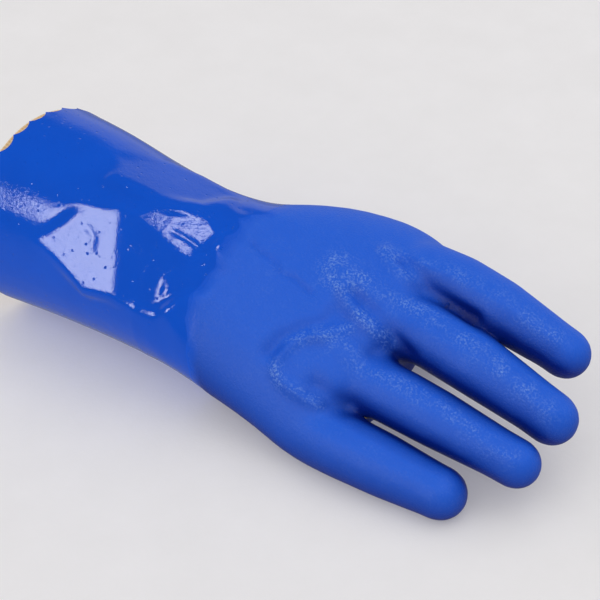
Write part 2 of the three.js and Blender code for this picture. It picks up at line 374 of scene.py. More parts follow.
# %% [markdown]
# ## Folds of the cuff
# The cuff's rubber lies in flats with round edges between them, as a thick sheet does where it
# gives way. Each flat is a plane through a spot. Its turn and rise, in degrees, say where it
# faces, and its outline says how far it goes. The near flat and the wrist flat each mirror a
# lamp, and the bevel between them mirrors the dark room. Two more flats lie apart: a narrow one
# at the border of the second dip, and a long one on the cuff's far side.

# %% Name the flats
near_flats = [
    {"name": "near_flat", "spot": (-72.6, -43.5, 63.6), "turn": 12, "rise": 35, "fade": 6.0,
     "outline": [(-97, -49, 61), (-86, -38, 73), (-69, -31, 78), (-64, -31, 77), (-56, -49, 50),
                 (-73, -52, 49)]},
    {"name": "wrist_flat", "spot": (-40.4, -24.6, 68.1), "turn": 45, "rise": 52, "fade": 4.0,
     "outline": [(-55, -23, 78), (-37, -11, 74), (-32, -15, 70), (-32, -23, 65), (-36, -38, 58),
                 (-45, -31, 68)]},
    {"name": "bevel", "spot": (-59.0, -39.9, 62.7), "turn": 26, "rise": 36, "fade": 6.0,
     "outline": [(-63, -31, 77), (-54, -26, 79), (-45, -32, 67), (-36, -39, 56), (-42, -45, 48),
                 (-55, -49, 49)]},
]
side_flats = [
    {"name": "border_flat", "spot": (-30, -25, 63), "turn": 31, "rise": 42, "fade": 5.0,
     "outline": [(-28, -16, 67), (-24, -20, 62), (-28, -31, 55), (-37, -39, 55), (-38, -36, 58),
                 (-31, -24, 64)]},
    {"name": "far_flat", "spot": (-65.4, 2.3, 78.1), "turn": 136.5, "rise": 70.9, "fade": 8.0,
     "outline": [(-78, -18, 86), (-82, -8, 87), (-78, 0, 85), (-70, 8, 81), (-58, 12, 76), (-46, 12, 72),
                 (-49, -2, 76), (-60, -13, 81)]},
]
print("flats:", ", ".join(flat["name"] for flat in near_flats + side_flats))

# %% [markdown]
# An outline is seen square to its plane, and its corners turn one way all round. So a point's
# gap to it is the largest of its gaps to the lines through the sides.

# %% Measure the gap to an outline
def way_of(turn, rise):
    """The direction with this turn from the glove's near side and this rise, in degrees."""
    turn, rise = math.radians(turn), math.radians(rise)
    return np.array([math.sin(turn) * math.cos(rise), -math.cos(turn) * math.cos(rise), math.sin(rise)])


def outline_gap(spots, corners, facing):
    """How far outside an outline each point lies, seen square to it: 0 inside."""
    across = np.cross((0, 0, 1), facing)
    across /= np.linalg.norm(across)
    up = np.cross(facing, across)
    middle = corners.mean(axis=0)
    seen = np.stack([(spots - middle) @ across, (spots - middle) @ up], axis=-1)
    drawn = np.stack([(corners - middle) @ across, (corners - middle) @ up], axis=-1)
    area = np.sum(drawn[:, 0] * np.roll(drawn[:, 1], -1) - drawn[:, 1] * np.roll(drawn[:, 0], -1))
    outside = np.full(spots.shape[:-1], -np.inf)
    for a, b in zip(drawn, np.roll(drawn, -1, axis=0)):
        along = (b - a) / np.linalg.norm(b - a)
        away = np.array([along[1], -along[0]]) * np.sign(area)
        outside = np.maximum(outside, (seen - a) @ away)
    return np.maximum(outside, 0)


print("the near flat faces", np.round(way_of(near_flats[0]["turn"], near_flats[0]["rise"]), 2))

# %% [markdown]
# The skin is pressed on to whichever plane of a group lies lowest, and goes its own way again
# past the outlines. A soft minimum of the planes leaves the small round edges between them.

# %% Press the flats into the radii
FLAT_HOLD = 0.95
EDGE_ROUND = 0.2
LEAST_LIFT = 0.25
PRESS_DEPTH = 15.0
BLUR_ROUNDS = 1


def press(table, flats):
    """The radii with the skin pressed on to the lowest of these flats, inside their outlines."""
    outward = np.stack([np.zeros(AROUND), np.cos(ring_angles), np.sin(ring_angles)], axis=-1)
    skin = place_rings(table)
    share = np.zeros_like(table)
    proud = np.full_like(table, -np.inf)
    for flat in flats:
        facing = way_of(flat["turn"], flat["rise"])
        above = (skin - np.array(flat["spot"])) @ facing
        lift = above / np.maximum(outward @ facing, LEAST_LIFT)
        proud = np.logaddexp(proud, lift / EDGE_ROUND)
        gap = outline_gap(skin, np.array(flat["outline"], float), facing)
        same_side = above > -PRESS_DEPTH
        share = np.maximum(share, FLAT_HOLD * (1 - soft_step(gap, 0, flat["fade"])) * same_side)
    moved = share * EDGE_ROUND * proud
    names = ", ".join(flat["name"] for flat in flats)
    print(names, "move the skin up to", round(float(np.abs(moved).max()), 1), "mm")
    return table - moved


radii = press(radii, near_flats)
for flat in side_flats:
    radii = press(radii, [flat])
radii = softened(radii, BLUR_ROUNDS)

# %% [markdown]
# ## Knuckles, webs and creases
# Between two fingers the rubber is drawn up to a small tent: a low ridge runs down to the web,
# with a dark valley beside it. Three fingers also carry a faint ridge along their backs, a curved
# fold runs round the ring finger's knuckle, and a crease, a soft fold and a notch lie by the
# wrist. The cuff has one more fold, and a slit and a scar in its flats. All of them are lines
# through a few points, with a height and a width in millimetres.

# %% Name the ridges and valleys
lines = [
    {"name": "index_ridge", "high": 0.6, "wide": 3.4,
     "line": [(29, 27, 64), (42, 28, 64), (57, 28, 64), (75, 29, 64), (97, 27, 59), (113, 28, 53)]},
    {"name": "index_web_ridge", "high": 2.0, "wide": 2.4,
     "line": [(29, 25, 63), (38, 21, 61), (45, 20, 58), (52, 22, 50)]},
    {"name": "index_web_valley", "high": -2.5, "wide": 3.4,
     "line": [(38, 26, 62), (48, 25, 58), (60, 23, 55), (78, 21, 53)]},
    {"name": "middle_slope_valley", "high": -0.8, "wide": 4.0,
     "line": [(32, 16, 60), (44, 15, 56), (52, 16, 50)]},
    {"name": "middle_knuckle", "high": 1.9, "wide": 7.0, "line": [(19, 6, 61), (24, 5, 61)]},
    {"name": "middle_ridge", "high": 0.9, "wide": 4.0,
     "line": [(19, 6, 61), (40, 7, 58), (58, 9, 56), (90, 5, 52), (106, 3, 47), (125, 1, 40)]},
    {"name": "middle_web_ridge", "high": 1.8, "wide": 2.4,
     "line": [(24, 0, 58), (35, -5, 54), (45, -6, 50), (54, -4, 43)]},
    {"name": "middle_web_valley", "high": -1.8, "wide": 3.0,
     "line": [(30, 1, 57), (40, -1, 54), (51, -1, 46), (61, -5, 42)]},
    {"name": "ring_slope_valley", "high": -1.6, "wide": 3.6,
     "line": [(27, -9, 54), (38, -12, 49), (48, -11, 42)]},
    {"name": "knuckle_fold", "high": 1.8, "wide": 2.2,
     "line": [(36, -12, 50), (29, -19, 47), (22, -23, 46), (18, -28, 43), (16, -34, 39),
              (17, -38, 36), (21, -40, 33), (26, -40, 31), (34, -40, 30), (40, -39, 29)]},
    {"name": "knuckle_fold_valley", "high": -1.5, "wide": 3.0,
     "line": [(26, -14, 50), (19, -20, 47), (13, -27, 44), (11, -34, 40)]},
    {"name": "little_web_dimple", "high": -2.2, "wide": 4.4,
     "line": [(35, -35, 34), (43, -35, 31), (48, -31, 26)]},
    {"name": "ring_ridge", "high": 0.6, "wide": 4.0,
     "line": [(26, -19, 47), (43, -20, 43), (68, -20, 41), (86, -19, 38), (99, -19, 34), (121, -21, 28)]},
    {"name": "wrist_crease", "high": -1.5, "wide": 1.2,
     "line": [(-19, -4, 66), (-13, -5, 64), (-6, -5, 62), (-1, -8, 60), (5, -6, 59), (14, -8, 56)]},
    {"name": "wrist_fold", "high": -0.7, "wide": 6.0, "line": [(-22, 3, 67), (-8, 8, 65), (6, 12, 64)]},
    {"name": "wrist_notch", "high": -0.8, "wide": 4.0, "line": [(-40, 18, 70), (-33, 8, 71)]},
    {"name": "soft_fold", "high": 1.0, "wide": 4.5,
     "line": [(-38, -47, 51), (-27, -51, 43), (-16, -55, 34)]},
    {"name": "flat_slit", "high": -0.5, "wide": 1.3,
     "line": [(-46, -24, 73), (-39, -22, 70), (-31, -21, 66)]},
    {"name": "flat_scar", "high": -0.3, "wide": 1.6,
     "line": [(-80, -40, 70), (-76, -41, 68), (-75, -44, 64)]},
]
print("lines:", ", ".join(row["name"] for row in lines))

# %% [markdown]
# A vertex moves along its normal by what the lines near it add up to, with a bell-shaped fall to
# the sides. Where a high ridge runs beside a deep valley the moved skin can fold on itself, so
# the hand is smoothed twice after it. On the cuff the same lines change the radii.

# %% Raise the ridges and press the valleys
UNTANGLE_ROUNDS = 2


def line_gap(spots, line):
    """Each point's distance to a line through a few points."""
    least = np.full(spots.shape[:-1], np.inf)
    for a, b in zip(line[:-1], line[1:]):
        a, b = np.array(a, float), np.array(b, float)
        step = b - a
        share = np.clip((spots - a) @ step / (step @ step), 0, 1)
        least = np.minimum(least, np.linalg.norm(spots - a - share[..., None] * step, axis=-1))
    return least


def relief(spots, rows):
    """How far rows of ridges and valleys raise each point."""
    rise = np.zeros(spots.shape[:-1])
    for row in rows:
        rise += row["high"] * np.exp(-(line_gap(spots, row["line"]) / row["wide"]) ** 2)
    return rise


spots = read_spots(hand)
hand_rise = relief(spots, lines)
write_spots(hand, spots + read_normals(hand) * hand_rise[:, None])
finish_modifier(hand, "SMOOTH", factor=SMOOTH_SHARE, iterations=UNTANGLE_ROUNDS)
radii += relief(place_rings(radii), lines)
print("hand moved from", round(float(hand_rise.min()), 1), "to", round(float(hand_rise.max()), 1), "mm")

# %% [markdown]
# ## The hand's edge at the wrist
# The second dip ends in a wavy line round the wrist. Near that line the hand is laid on the
# cuff's skin and thins out to nothing, since the dip leaves no step that can be seen.

# %% Fit the hand onto the wrist
dip_table = {
    "angle": (25, 66, 76, 85, 90, 104, 128, 150, 164, 171, 185, 195, 240, 290, 340),
    "place": (-25, -23, -26.5, -29, -26, -26, -24, -26, -25, -23, -20, -19, -22, -21, -24),
}
dip_ripples = [
    {"high": 0.5, "waves": 9, "start": 0},
    {"high": 0.3, "waves": 23, "start": 40},
]
LINE_SIDE, LINE_HEIGHT = middle_at(-25.0)
EDGE_BEFORE = 1.5
FEATHER_THIN = 0.05
FEATHER_THICK = 0.4
FEATHER_END = 7.0
FIT_FULL = 12.0
FIT_END = 34.0


def angle_of(spots):
    """The angle of points round the wrist, in degrees from 0 to 360."""
    turn = np.degrees(np.arctan2(spots[..., 2] - LINE_HEIGHT, spots[..., 1] - LINE_SIDE))
    return np.mod(turn, 360)


def dip_place(spots):
    """Where the second dip ends along the glove, at each point's angle."""
    angle = angle_of(spots)
    wave = np.interp(angle, dip_table["angle"], dip_table["place"], period=360)
    for ripple in dip_ripples:
        wave = wave + ripple["high"] * np.sin(np.radians(angle * ripple["waves"] + ripple["start"]))
    return wave


def past_dip(piece):
    """How far past the dip's end each vertex of a piece lies, towards the fingers."""
    spots = read_spots(piece)
    return spots[:, 0] - dip_place(spots)


def wrist_radius(y, z, place):
    """The table's radius in the direction y, z from the middle line, between rings and angles."""
    column = np.mod(np.arctan2(z, y), 2 * math.pi) / (2 * math.pi) * AROUND
    i, u = between_rings(place)
    j, v = column.astype(int) % AROUND, column - np.floor(column)
    low = radii[i, j] * (1 - v) + radii[i, (j + 1) % AROUND] * v
    high = radii[i + 1, j] * (1 - v) + radii[i + 1, (j + 1) % AROUND] * v
    return low * (1 - u) + high * u


spots = read_spots(hand)
past = past_dip(hand)
side, height = middle_at(spots[:, 0])
y, z = spots[:, 1] - side, spots[:, 2] - height
feather = FEATHER_THIN + (FEATHER_THICK - FEATHER_THIN) * soft_step(past, -EDGE_BEFORE, FEATHER_END)
fitted = 1 - soft_step(past, FIT_FULL, FIT_END)
target = wrist_radius(y, z, spots[:, 0]) + feather
scale = 1 + fitted * (target / np.maximum(np.hypot(y, z), 1) - 1)
spots[:, 1] = side + y * scale
spots[:, 2] = height + z * scale
write_spots(hand, spots)
print("hand fitted to the cuff over", int((fitted > 0).sum()), "vertices")

# %% [markdown]
# A bisect cuts along a flat plane only. So every point is shifted by the wave first, the cut is
# made straight, and the points are shifted back, which leaves the edge wavy.

# %% Cut the hand along the dip line
FLOOR_GAP = 0.02

spots = read_spots(hand)
spots[:, 0] -= dip_place(spots) - EDGE_BEFORE
write_spots(hand, spots)
only(hand)
bpy.ops.object.mode_set(mode="EDIT")
bpy.ops.mesh.select_all(action="SELECT")
bpy.ops.mesh.bisect(plane_co=(0, 0, 0), plane_no=(1, 0, 0), clear_inner=True)
bpy.ops.object.mode_set(mode="OBJECT")
spots = read_spots(hand)
spots[:, 0] += dip_place(spots) - EDGE_BEFORE
spots[:, 2] = np.maximum(spots[:, 2], FLOOR_GAP)
write_spots(hand, spots)
print("hand cut to", len(hand.data.polygons), "faces")

# %% [markdown]
# ## How open each spot is
# Light reaches the tops of the fingers from everywhere and the gaps between them hardly at all.
# Rays from each vertex count how much of the sky it sees, and the floor below counts for a third
# of that. The sandy rubber's colour uses the share later on as painted shade: deep blue where
# little light comes in, and a paler blue where much does.

# %% Measure the open sky
SKY_RAYS = 44
SKY_REACH = 40.0
FLOOR_SHARE = 0.35
LEAST_FACING = 0.15
RAY_LIFT = 0.5
BLEND_ROUNDS = 8


def spread_ways(count):
    """Directions spread evenly all round."""
    step = np.arange(count) + 0.5
    height = 1 - 2 * step / count
    turn = step * math.pi * (3 - math.sqrt(5))
    level = np.sqrt(1 - height ** 2)
    return np.stack([level * np.cos(turn), level * np.sin(turn), height], axis=-1)


def blended(piece, values, rounds):
    """One number for each vertex, averaged with its neighbours' along the edges."""
    ends = np.empty(len(piece.data.edges) * 2, dtype=np.int32)
    piece.data.edges.foreach_get("vertices", ends)
    a, b = ends.reshape(-1, 2).T
    count = np.bincount(ends, minlength=len(values))
    for _ in range(rounds):
        total = np.bincount(a, values[b], len(values)) + np.bincount(b, values[a], len(values))
        values = (values + total / count) / 2
    return values


def sky_for_painted_shade(piece):
    """The share of the sky that each vertex sees past the piece itself."""
    tree, _ = tree_of(piece)
    spots, normals = read_spots(piece), read_normals(piece)
    ways = spread_ways(SKY_RAYS)
    facing = normals @ ways.T
    seen = np.zeros(len(spots))
    for index, (spot, normal) in enumerate(zip(spots, normals)):
        start = tuple(spot + normal * RAY_LIFT)
        for number in np.nonzero(facing[index] > LEAST_FACING)[0]:
            way = ways[number]
            share = FLOOR_SHARE if way[2] < 0 else 1
            if tree.ray_cast(start, tuple(way), SKY_REACH)[0] is None:
                seen[index] += share * facing[index, number]
    return seen / np.where(facing > LEAST_FACING, facing, 0).sum(axis=1)


# This share is the mask for the painted shade in the sandy rubber's colour.
painted_shade_sky_share = blended(hand, sky_for_painted_shade(hand), BLEND_ROUNDS)
print("open sky from", round(float(painted_shade_sky_share.min()), 2), "to", round(float(painted_shade_sky_share.max()), 2))

# %% [markdown]
# Attributes carry such numbers with the mesh, so that a material can read them: the open sky, which
# masks the painted shade, how much of a crest a vertex is on, which masks the painted sheen, and
# how far past the dip's end it lies.

# %% Keep three numbers for each vertex
def save_numbers(piece, name, values):
    """Keeps one number for each vertex in an attribute, for the materials to read."""
    layer = piece.data.attributes.new(name, "FLOAT", "POINT")
    layer.data.foreach_set("value", values.astype(np.float32))


ridges = [row for row in lines if row["high"] > 0]
# The open sky masks painted shade, and the crest masks painted sheen.
save_numbers(hand, "sky_for_painted_shade", painted_shade_sky_share)
save_numbers(hand, "sheen_crest", np.clip(relief(read_spots(hand), ridges), 0, 1))
save_numbers(hand, "past_dip", past_dip(hand))
print("attributes of the hand:", ", ".join(hand.data.attributes.keys()))

# %% [markdown]
# ## The hand's wall
# The wall goes inwards, so the outside keeps its size. The vertex group thins it where the hand
# lies on the cuff, and leaves it 1.5 mm thick elsewhere. The inside takes the second material
# slot, because the knit is what lies there.

# %% Give the hand its wall
WALL = 1.5 * MM
THIN_SHARE = 0.15
OVERLAP = 8.0
WALL_FADE = 6.0

wall_share = soft_step(past_dip(hand), OVERLAP, OVERLAP + WALL_FADE)
group = hand.vertex_groups.new(name="full_wall")
for index, share in enumerate(wall_share):
    group.add([index], float(share), "REPLACE")
finish_modifier(hand, "SOLIDIFY", thickness=WALL, offset=-1, vertex_group="full_wall",
                thickness_vertex_group=THIN_SHARE, use_quality_normals=True, material_offset=1)
hand.vertex_groups.clear()
print("hand shell has", len(hand.data.polygons), "faces")

# %% [markdown]
# ## The cuff's shell
# A flat grid is rolled round the rings: one column for each angle and one row for each ring. Its
# first rows follow the edge, which the maker pinks with shears that bite a row of arcs out of the
# rubber, so that sharp points are left between them. The last row lies hidden under the hand.

# %% Make a grid that can be rolled
SEAM_GAP = 0.01 * MM


def flat_grid(name, rows):
    """A flat grid as wide as a ring has angles, and the row and column of each vertex."""
    bpy.ops.object.select_all(action="DESELECT")
    bpy.ops.mesh.primitive_grid_add(x_subdivisions=AROUND, y_subdivisions=rows - 1, size=1)
    sleeve = bpy.context.object
    sleeve.name = name
    flat = read_spots(sleeve) * MM
    column = np.rint((flat[:, 0] + 0.5) * AROUND).astype(int) % AROUND
    row = np.rint((flat[:, 1] + 0.5) * (rows - 1)).astype(int)
    return sleeve, row, column


def join_seam(sleeve):
    """Merges the rolled grid's two edges and turns all faces outwards."""
    only(sleeve)
    bpy.ops.object.mode_set(mode="EDIT")
    bpy.ops.mesh.select_all(action="SELECT")
    bpy.ops.mesh.remove_doubles(threshold=SEAM_GAP)
    bpy.ops.mesh.normals_make_consistent(inside=False)
    bpy.ops.object.mode_set(mode="OBJECT")


print("a column is", round(360 / AROUND, 1), "degrees wide")

# %% Roll the cuff round the rings
SCALLOPS = 30
SCALLOP_PITCH = 9.6
SCALLOP_DEPTH = 2.3
EDGE_FADE = 9.0
EDGE_WAVE = 0.5
EDGE_WAVES_AROUND = 2
EDGE_WAVE_START = 1.0
CUFF_HIDDEN_END = 6.0


def bite(column):
    """How deep the pinking bites at a column: 0 at the points and most between them."""
    share = np.mod(column * SCALLOPS / AROUND, 1)
    radius = (SCALLOP_PITCH ** 2 / 4 + SCALLOP_DEPTH ** 2) / (2 * SCALLOP_DEPTH)
    across = (share - 0.5) * SCALLOP_PITCH
    return np.sqrt(radius ** 2 - across ** 2) - (radius - SCALLOP_DEPTH)


cuff_length = max(dip_table["place"]) + CUFF_HIDDEN_END - MOUTH_PLACE
cuff, row, column = flat_grid("cuff_shell", int(cuff_length / RING_STEP))
spots = place_rings(radii)[row, column]
behind = row * RING_STEP / EDGE_FADE
turn = column * EDGE_WAVES_AROUND * 2 * math.pi / AROUND
edge = bite(column) + EDGE_WAVE * np.sin(turn + EDGE_WAVE_START)
spots[:, 0] += edge * (1 - soft_step(behind, 0, 1))
spots[:, 2] = np.maximum(spots[:, 2], FLOOR_GAP)
write_spots(cuff, spots)
join_seam(cuff)
two_sides(cuff)
finish_modifier(cuff, "SOLIDIFY", thickness=WALL, offset=-1, use_quality_normals=True, material_offset=1)
print("cuff shell has", len(cuff.data.polygons), "faces")

# %% [markdown]
# ## The knit lining
# The glove is knitted cotton first and rubber after. Only the lining's end can be seen: it stands
# a little out of the bites and lies inside the mouth. It is a second rolled grid, 1.6 mm inside
# the first. Its grid keeps its own UV map, so that the knit can follow the tube.

# %% Roll the lining
LINING_INSET = 1.62
LINING_WALL = 1.1 * MM
LINING_PROUD = 1.8
LINING_END = 2.0

lining_length = LINING_END - MOUTH_PLACE + LINING_PROUD
lining, row, column = flat_grid("lining_sleeve", int(lining_length / RING_STEP) + 1)
place = MOUTH_PLACE - LINING_PROUD + row * RING_STEP
before, share = between_rings(place)
radius = radii[before, column] * (1 - share) + radii[before + 1, column] * share - LINING_INSET
side, height = middle_at(place)
y, z = radius * np.cos(ring_angles[column]), radius * np.sin(ring_angles[column])
spots = np.stack([place + lean_at(place) * y, side + y, np.maximum(height + z, LINING_INSET)], axis=-1)
write_spots(lining, spots)
join_seam(lining)
finish_modifier(lining, "SOLIDIFY", thickness=LINING_WALL, offset=-1, use_quality_normals=True)
print("lining has", len(lining.data.polygons), "faces")

# %% [markdown]
# ## Smooth shading
# The shells are smooth rubber, so only the thin rims keep a hard edge.

# %% Shade the pieces
HARD_EDGE = math.radians(50)

for piece in (hand, cuff, lining):
    only(piece)
    bpy.ops.object.shade_smooth_by_angle(angle=HARD_EDGE)
print("shaded three pieces")

# %% [markdown]
# ## Colours and a helper for nodes
# Colours are written as on a screen and turned to the linear values that a shader takes. One
# helper adds a node with its settings and its links. The Mix node has sockets of several kinds
# under the same names, so its two colours and its result are found by their numbers.

# %% Colours and nodes
MIX_FIRST = 6
MIX_SECOND = 7
MIX_RESULT = 2


def linear(code):
    """A screen colour such as 1148CC as the linear colour of a shader."""
    parts = [int(code[i:i + 2], 16) / 255 for i in (0, 2, 4)]
    return tuple(v / 12.92 if v <= 0.04045 else ((v + 0.055) / 1.055) ** 2.4 for v in parts) + (1.0,)


def add_node(tree, kind, links=(), values=None, **fields):
    """Adds a node, sets its fields and sockets, and links (socket, source node, source socket)."""
    node = tree.nodes.new("ShaderNode" + kind)
    for field, value in fields.items():
        setattr(node, field, value)
    for socket, value in (values or {}).items():
        node.inputs[socket].default_value = value
    for socket, source, output in links:
        tree.links.new(source.outputs[output], node.inputs[socket])
    return node


def new_material(name, values):
    """A material with a Principled shader that has these values, linked to its output."""
    material = bpy.data.materials.new(name)
    material.use_nodes = True
    tree = material.node_tree
    tree.nodes.clear()
    shader = add_node(tree, "BsdfPrincipled", values=values)
    add_node(tree, "OutputMaterial", [("Surface", shader, "BSDF")])
    return material, tree, shader


print("a screen's middle grey is", round(linear("808080")[0], 3), "as linear light")

# %% [markdown]
# ## Smooth dipped PVC
# The cuff is plasticised PVC that dried on the knit as it dripped off, so it is glossy like a
# wet surface. Its mirror is not perfect: broad drip waves bend it, the stitches below print
# through as dents about a millimetre wide, which fray the edges of every highlight, and a few
# burst bubbles have left small pits.

# %% Glossy rubber
PVC_IOR = 1.53
DRIP_TONE = 22 * MM
DRIP_WAVE = 9 * MM
DRIP_HEIGHT = 0.14 * MM
STITCH_PRINT = 1.4 * MM
STITCH_HEIGHT = 0.09 * MM
PIT_SPACING = 4.2 * MM
PIT_SHARE = 0.17
PIT_DEPTH = 0.2 * MM

gloss, tree, shader = new_material("dipped_pvc", {"IOR": PVC_IOR, "Roughness": 0.06})
place = add_node(tree, "TexCoord")
shade = add_node(tree, "TexNoise", [("Vector", place, "Object")], {"Scale": 1 / DRIP_TONE, "Detail": 2.0})
tone = add_node(tree, "Mix", [("Factor", shade, "Fac")],
                {MIX_FIRST: linear("0D54D2"), MIX_SECOND: linear("0E5DE2")}, data_type="RGBA")
waves = add_node(tree, "TexNoise", [("Vector", place, "Object")],
                 {"Scale": 1 / DRIP_WAVE, "Detail": 2.0, "Roughness": 0.5})
prints = add_node(tree, "TexNoise", [("Vector", place, "Object")],
                  {"Scale": 1 / STITCH_PRINT, "Detail": 3.0, "Roughness": 0.6})
pits = add_node(tree, "TexVoronoi", [("Vector", place, "Object")],
                {"Scale": 1 / PIT_SPACING, "Randomness": 1.0})
pit = add_node(tree, "MapRange", [("Value", pits, "Distance")], {"From Max": PIT_SHARE})
broad = add_node(tree, "Bump", [("Height", waves, "Fac")], {"Strength": 1.0, "Distance": DRIP_HEIGHT})
fine = add_node(tree, "Bump", [("Height", prints, "Fac"), ("Normal", broad, "Normal")],
                {"Strength": 1.0, "Distance": STITCH_HEIGHT})
bump = add_node(tree, "Bump", [("Height", pit, "Result"), ("Normal", fine, "Normal")],
                {"Strength": 1.0, "Distance": PIT_DEPTH})
tree.links.new(tone.outputs[MIX_RESULT], shader.inputs["Base Color"])
tree.links.new(bump.outputs["Normal"], shader.inputs["Normal"])
print(gloss.name, "has", len(tree.nodes), "nodes")

# %% [markdown]
# ## Sandy dipped PVC
# The second dip is foamed with salt or sand that is washed out again, so that it grips. Its
# pits are half a millimetre to a millimetre wide, drawn here at 1 mm so that they show. Its blue
# is painted shade: deep in the gaps, where little sky is seen, and paler on the open tops.

# %% Sandy rubber: its blue, painted shade by the open sky
GRAIN = 1.0 * MM
SAND_PATCH = 9 * MM
SKY_FULL_PAINTED_SHADE = 0.50
SKY_NO_PAINTED_SHADE = 0.93

sandy, tree, shader = new_material("sandy_pvc", {"IOR": PVC_IOR, "Specular IOR Level": 0.22})
place = add_node(tree, "TexCoord")
sky = add_node(tree, "Attribute", attribute_name="sky_for_painted_shade")
sheen_crest = add_node(tree, "Attribute", attribute_name="sheen_crest")
past = add_node(tree, "Attribute", attribute_name="past_dip")
grain = add_node(tree, "TexNoise", [("Vector", place, "Object")],
                 {"Scale": 1 / GRAIN, "Detail": 3.0, "Roughness": 0.6})
cloud = add_node(tree, "TexNoise", [("Vector", place, "Object")],
                 {"Scale": 1 / SAND_PATCH, "Detail": 3.0, "Roughness": 0.6})
# Painted shade: the deep blue goes where a vertex sees little sky, the bright blue on the open tops.
painted_light_share = add_node(tree, "MapRange", [("Value", sky, "Fac")],
                      {"From Min": SKY_FULL_PAINTED_SHADE, "From Max": SKY_NO_PAINTED_SHADE})
tone = add_node(tree, "Mix", [("Factor", painted_light_share, "Result")],
                {MIX_FIRST: linear("00268E"), MIX_SECOND: linear("1E66E9")}, data_type="RGBA")
print(sandy.name, "goes from deep to open blue over", round(SKY_NO_PAINTED_SHADE - SKY_FULL_PAINTED_SHADE, 2), "of the sky")

# %% [markdown]
# Pale grains are a painted sheen, most of all on the ridges and the open tops. They are the noise's
# peaks, times how much of a crest and of the sky there is, in patches.

# %% Sandy rubber: its pale grains, a painted sheen
SHEEN_ON_CREST = 4.2
SHEEN_ELSEWHERE = 0.35
SHEEN_MOST = 0.30

# The crest and the open sky place a painted sheen of pale grains on the tops.
high = add_node(tree, "Math", [(0, sheen_crest, "Fac")], {1: SHEEN_ON_CREST, 2: SHEEN_ELSEWHERE},
                operation="MULTIPLY_ADD")
sheen_speck = add_node(tree, "MapRange", [("Value", grain, "Fac")], {"From Min": 0.46, "From Max": 0.72})
patch = add_node(tree, "MapRange", [("Value", cloud, "Fac")],
                 {"From Min": 0.35, "From Max": 0.65, "To Max": SHEEN_MOST})
pale = add_node(tree, "Math", [(0, sheen_speck, "Result"), (1, high, "Value")], operation="MULTIPLY")
pale = add_node(tree, "Math", [(0, pale, "Value"), (1, painted_light_share, "Result")], operation="MULTIPLY")
pale = add_node(tree, "Math", [(0, pale, "Value"), (1, patch, "Result")], operation="MULTIPLY")
# The painted sheen is mixed as pale grains over the painted shade's blue.
grains = add_node(tree, "Mix", [("Factor", pale, "Value"), (MIX_FIRST, tone, MIX_RESULT)],
                  {MIX_SECOND: linear("7CA6F4")}, data_type="RGBA")
print("pale grains cover up to", SHEEN_MOST, "of a patch, before the crests add to them")

# %% [markdown]
# At the dip line the sand thins out over a few millimetres, raggedly. So the colour, the
# roughness and the bump all come in with the same share of sand.

# %% Sandy rubber: where the sand begins
RAGGED = 6.0
SAND_START = 2.0
SAND_FULL = 7.0
GRAIN_HEIGHT = 0.35 * MM

ragged = add_node(tree, "Math", [(0, cloud, "Fac"), (2, past, "Fac")], {1: RAGGED}, operation="MULTIPLY_ADD")
sand = add_node(tree, "MapRange", [("Value", ragged, "Value")],
                {"From Min": SAND_START, "From Max": SAND_FULL})
colour = add_node(tree, "Mix", [("Factor", sand, "Result"), (MIX_SECOND, grains, MIX_RESULT)],
                  {MIX_FIRST: linear("105CE0")}, data_type="RGBA")
dull = add_node(tree, "MapRange", [("Value", sand, "Result")], {"To Min": 0.25, "To Max": 0.40})
coarse = add_node(tree, "Math", [(0, grain, "Fac"), (1, sand, "Result")], operation="MULTIPLY")
bump = add_node(tree, "Bump", [("Height", coarse, "Value")], {"Strength": 1.0, "Distance": GRAIN_HEIGHT})
tree.links.new(colour.outputs[MIX_RESULT], shader.inputs["Base Color"])
tree.links.new(dull.outputs["Result"], shader.inputs["Roughness"])
tree.links.new(bump.outputs["Normal"], shader.inputs["Normal"])
print(sandy.name, "has", len(tree.nodes), "nodes")

# %% [markdown]
# ## Cotton knit
# The lining is undyed cotton jersey, yellowed by the glue of the dip. Its stitches run round the
# tube in courses and along it in columns, so they follow the grid's own UV map. Loose fibres
# break up the rows.

# %% Knit
COLUMNS = 170
COURSES = 95
FIBRE = 0.9 * MM
FIBRE_SHARE = 2.5
KNIT_HEIGHT = 0.12 * MM

knit, tree, shader = new_material("cotton_knit", {"Roughness": 0.9})
place = add_node(tree, "TexCoord")
way = add_node(tree, "SeparateXYZ", [("Vector", place, "UV")])
loops = add_node(tree, "Math", [(0, way, "X")], {1: COLUMNS * 2 * math.pi}, operation="MULTIPLY")
loops = add_node(tree, "Math", [(0, loops, "Value")], operation="SINE")
rows = add_node(tree, "Math", [(0, way, "Y")], {1: COURSES * 2 * math.pi}, operation="MULTIPLY")
rows = add_node(tree, "Math", [(0, rows, "Value")], operation="SINE")
stitch = add_node(tree, "Math", [(0, loops, "Value"), (1, rows, "Value")], operation="ADD")
fuzz = add_node(tree, "TexNoise", [("Vector", place, "Object")],
                {"Scale": 1 / FIBRE, "Detail": 3.0, "Roughness": 0.7})
height = add_node(tree, "Math", [(0, fuzz, "Fac"), (2, stitch, "Value")], {1: FIBRE_SHARE},
                  operation="MULTIPLY_ADD")
# Painted shade: the knit is darker and more orange in the stitch hollows, and its fibres vary at random.
deep = add_node(tree, "MapRange", [("Value", height, "Value")], {"From Min": -0.8, "From Max": 3.2})
tone = add_node(tree, "Mix", [("Factor", deep, "Result")],
                {MIX_FIRST: linear("E8B678"), MIX_SECOND: linear("FFE2B4")}, data_type="RGBA")
bump = add_node(tree, "Bump", [("Height", height, "Value")], {"Strength": 0.8, "Distance": KNIT_HEIGHT})
tree.links.new(tone.outputs[MIX_RESULT], shader.inputs["Base Color"])
tree.links.new(bump.outputs["Normal"], shader.inputs["Normal"])
print(knit.name, "has", COLUMNS, "columns and", COURSES, "courses")

